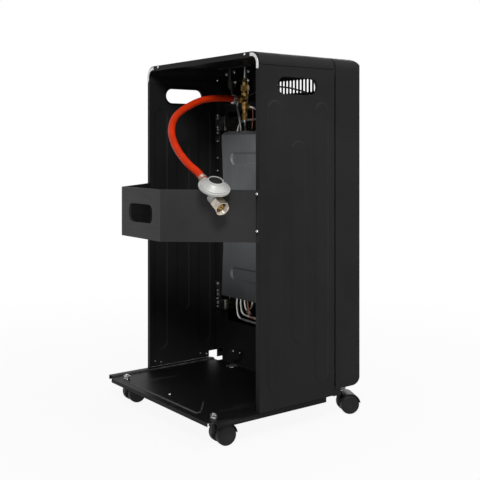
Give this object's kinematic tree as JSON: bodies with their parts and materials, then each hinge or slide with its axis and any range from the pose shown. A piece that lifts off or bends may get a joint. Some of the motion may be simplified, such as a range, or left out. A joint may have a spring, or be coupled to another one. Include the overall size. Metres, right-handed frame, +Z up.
{
  "type": "portable gas cabinet heater",
  "caption": "Portable gas heater: an open-backed sheet-metal cabinet on swivel casters with a burner behind a wire guard, hose and regulator, and a lift-off bottle retainer.",
  "frame": {"origin": "on the floor, midway between the front and back of the cabinet with its casters and bottle retainer, and on the cabinet's centre line", "axes": "+Z up; the burner faces -Y and the open back faces +Y; +X is the right side seen from the front"},
  "size_m": [0.4244, 0.4358, 0.7779],
  "materials": {
    "black_paint": "satin powder coat",
    "shield_steel": "dull rolled sheet",
    "zinc_steel": "zinc plated",
    "reflector_steel": "bright",
    "ceramic": "matte",
    "guard_steel": "bright",
    "brass": "machined",
    "copper": "drawn",
    "aluminium": "drawn",
    "cast_metal": "cast",
    "nickel": "plated",
    "black_plastic": "fine grain",
    "lead_jacket": "smooth",
    "orange_rubber": "smooth satin"
  },
  "bodies": {
    "cabinet": {"base_plate": "black_paint", "side_panel_left": "black_paint", "side_panel_right": "black_paint", "top_cover": "black_paint", "front_shell": "black_paint", "divider_panel": "black_paint", "heat_shield": "shield_steel", "corner_bracket_left": "zinc_steel", "corner_bracket_right": "zinc_steel", "burner_reflector": "reflector_steel", "burner_body_1": "zinc_steel", "burner_body_2": "zinc_steel", "burner_body_3": "zinc_steel", "ceramic_plaque_1": "ceramic", "ceramic_plaque_2": "ceramic", "ceramic_plaque_3": "ceramic", "guard_grille": "guard_steel", "pilot_burner": "zinc_steel", "control_panel": "black_plastic", "piezo_igniter": "black_plastic", "gas_valve": "brass", "valve_bracket": "zinc_steel", "gas_pipe_1": "aluminium", "gas_pipe_2": "aluminium", "gas_pipe_3": "aluminium", "pilot_pipe": "copper", "ignition_lead": "lead_jacket", "tilt_switch": "black_plastic", "regulator_body": "cast_metal", "regulator_cover": "cast_metal", "regulator_cap": "black_plastic", "inlet_stem": "brass", "gas_hose": "orange_rubber", "hose_clamp_valve": "zinc_steel", "hose_clamp_regulator": "zinc_steel", "caster_1_stem": "zinc_steel", "caster_2_stem": "zinc_steel", "caster_3_stem": "zinc_steel", "caster_4_stem": "zinc_steel"},
    "spindle": {"valve_spindle": "zinc_steel"},
    "knob": {"control_knob": "black_plastic"},
    "button": {"igniter_button": "black_plastic"},
    "nut": {"union_nut": "nickel"},
    "retainer": {"bottle_retainer": "black_paint"},
    "swivel_1": {"caster_1_hood": "black_plastic", "caster_1_axle": "zinc_steel"},
    "wheel_1a": {"caster_1_wheel_a": "black_plastic"},
    "wheel_1b": {"caster_1_wheel_b": "black_plastic"},
    "swivel_2": {"caster_2_hood": "black_plastic", "caster_2_axle": "zinc_steel"},
    "wheel_2a": {"caster_2_wheel_a": "black_plastic"},
    "wheel_2b": {"caster_2_wheel_b": "black_plastic"},
    "swivel_3": {"caster_3_hood": "black_plastic", "caster_3_axle": "zinc_steel"},
    "wheel_3a": {"caster_3_wheel_a": "black_plastic"},
    "wheel_3b": {"caster_3_wheel_b": "black_plastic"},
    "swivel_4": {"caster_4_hood": "black_plastic", "caster_4_axle": "zinc_steel"},
    "wheel_4a": {"caster_4_wheel_a": "black_plastic"},
    "wheel_4b": {"caster_4_wheel_b": "black_plastic"}
  },
  "joints": [
    {"name": "knob_turn", "type": "hinge", "parent": "cabinet", "child": "spindle", "pos_m": [0.053, -0.08761, 0.75], "axis": [0, 0, 1], "range_deg": [0, 270]},
    {"name": "knob_push", "type": "slide", "parent": "spindle", "child": "knob", "axis": [0, 0, -1], "range_m": [0, 0.004], "stiffness_N_per_m": 900, "springref_m": -0.002},
    {"name": "button_press", "type": "slide", "parent": "cabinet", "child": "button", "axis": [0, 0, -1], "range_m": [0, 0.005], "stiffness_N_per_m": 600, "springref_m": -0.002},
    {"name": "nut_turn", "type": "hinge", "parent": "cabinet", "child": "nut", "pos_m": [-0.19012, 0.15635, 0.45401], "axis": [-0.8698, 0.0666, -0.4888], "continuous": true},
    {"name": "retainer_lift", "type": "slide", "parent": "cabinet", "child": "retainer", "axis": [0, 0, 1], "range_m": [0, 0.006]},
    {"name": "caster_1_swivel", "type": "hinge", "parent": "cabinet", "child": "swivel_1", "pos_m": [-0.168, 0.15439, 0.03], "axis": [0, 0, 1], "continuous": true},
    {"name": "caster_1_roll_a", "type": "hinge", "parent": "swivel_1", "child": "wheel_1a", "pos_m": [-0.17019, 0.13652, 0.02], "axis": [0.9925, -0.1219, 0], "continuous": true},
    {"name": "caster_1_roll_b", "type": "hinge", "parent": "swivel_1", "child": "wheel_1b", "pos_m": [-0.17019, 0.13652, 0.02], "axis": [0.9925, -0.1219, 0], "continuous": true},
    {"name": "caster_2_swivel", "type": "hinge", "parent": "cabinet", "child": "swivel_2", "pos_m": [0.168, 0.15439, 0.03], "axis": [0, 0, 1], "continuous": true},
    {"name": "caster_2_roll_a", "type": "hinge", "parent": "swivel_2", "child": "wheel_2a", "pos_m": [0.16674, 0.13643, 0.02], "axis": [0.9976, -0.0698, 0], "continuous": true},
    {"name": "caster_2_roll_b", "type": "hinge", "parent": "swivel_2", "child": "wheel_2b", "pos_m": [0.16674, 0.13643, 0.02], "axis": [0.9976, -0.0698, 0], "continuous": true},
    {"name": "caster_3_swivel", "type": "hinge", "parent": "cabinet", "child": "swivel_3", "pos_m": [-0.168, -0.17261, 0.03], "axis": [0, 0, 1], "continuous": true},
    {"name": "caster_3_roll_a", "type": "hinge", "parent": "swivel_3", "child": "wheel_3a", "pos_m": [-0.17575, -0.18886, 0.02], "axis": [0.9026, -0.4305, 0], "continuous": true},
    {"name": "caster_3_roll_b", "type": "hinge", "parent": "swivel_3", "child": "wheel_3b", "pos_m": [-0.17575, -0.18886, 0.02], "axis": [0.9026, -0.4305, 0], "continuous": true},
    {"name": "caster_4_swivel", "type": "hinge", "parent": "cabinet", "child": "swivel_4", "pos_m": [0.168, -0.17261, 0.03], "axis": [0, 0, 1], "continuous": true},
    {"name": "caster_4_roll_a", "type": "hinge", "parent": "swivel_4", "child": "wheel_4a", "pos_m": [0.17174, -0.19022, 0.02], "axis": [0.9781, 0.2079, 0], "continuous": true},
    {"name": "caster_4_roll_b", "type": "hinge", "parent": "swivel_4", "child": "wheel_4b", "pos_m": [0.17174, -0.19022, 0.02], "axis": [0.9781, 0.2079, 0], "continuous": true}
  ]
}
